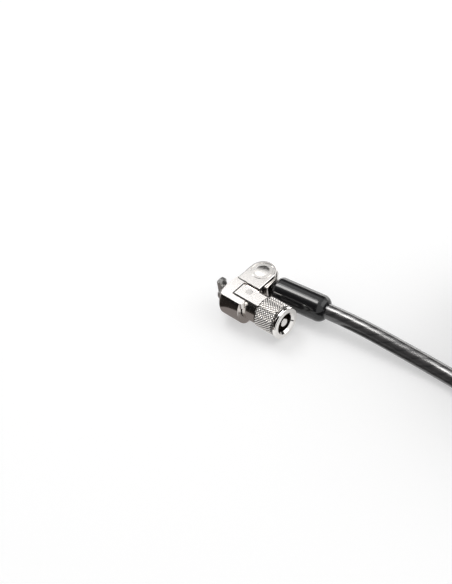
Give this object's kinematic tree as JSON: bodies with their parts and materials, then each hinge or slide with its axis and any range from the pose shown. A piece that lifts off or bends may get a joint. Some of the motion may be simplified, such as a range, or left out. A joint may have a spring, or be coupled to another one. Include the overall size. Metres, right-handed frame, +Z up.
{
  "type": "laptop cable lock",
  "caption": "Keyed cable lock: nickel barrel with knurled grip and T-bar nose, hinged and swivelling black cable boot, smoke-grey steel cable coiled to an end loop",
  "frame": {"origin": "On the surface that the lock lies on, under the middle of the box round the lock without its free cable.", "axes": "+X runs along the lock barrel from the slot end to the key end, +Y runs from the barrel towards the cable boot, and +Z is up. The lock lies on its collar and its lower ear, as in the picture."},
  "size_m": [0.1429, 0.0822, 0.0305],
  "materials": {
    "plated_body": "satin nickel plate",
    "plated_bezel": "polished nickel plate",
    "steel": "satin",
    "brass": "machined",
    "dark_core": "dark plated",
    "boot_plastic": "glossy black, moulded",
    "sheath_plastic": "clear smoke-grey sheath over steel strands",
    "strap_plastic": "satin black"
  },
  "bodies": {
    "cable_side": {"cable_boot": "boot_plastic", "crimp_sleeve": "steel", "stem_washer": "steel", "cable_core": "sheath_plastic", "cable": "sheath_plastic", "cable_coil": "sheath_plastic", "loop_ferrule": "steel", "cable_loop": "sheath_plastic", "cable_tie": "strap_plastic"},
    "swivel": {"cable_eye": "plated_body", "swivel_stem": "steel"},
    "head": {"lock_bracket": "plated_body", "barrel_shell": "plated_body", "knurled_sleeve": "plated_body", "bezel_ring": "plated_bezel", "keyway_liner": "dark_core", "pin_stator": "brass", "driver_pins": "brass", "pin_springs": "steel", "stator_pin": "steel", "nose_plate": "steel", "guide_posts": "steel", "pivot_pin": "plated_body", "pivot_washer": "steel"},
    "core": {"key_rotor": "dark_core", "spindle": "steel", "spindle_clip": "steel", "t_bar": "steel"},
    "pins": {"key_pins": "brass"}
  },
  "joints": [
    {"name": "boot_swivel", "type": "hinge", "parent": "cable_side", "child": "swivel", "pos_m": [-0.00666, 0.00459, 0.00528], "axis": [-0.9954, -0.0958, 0], "continuous": true},
    {"name": "ear_hinge", "type": "hinge", "parent": "swivel", "child": "head", "pos_m": [-0.00666, 0.00459, 0.00528], "axis": [0, 0, -1], "range_deg": [-4, 170]},
    {"name": "core_turn", "type": "hinge", "parent": "head", "child": "core", "pos_m": [-0.01066, -0.00411, 0.006], "axis": [1, 0, 0], "range_deg": [0, 90]},
    {"name": "key_push", "type": "slide", "parent": "core", "child": "pins", "axis": [-1, 0, 0], "range_m": [0, 0.0006], "stiffness_N_per_m": 200}
  ]
}
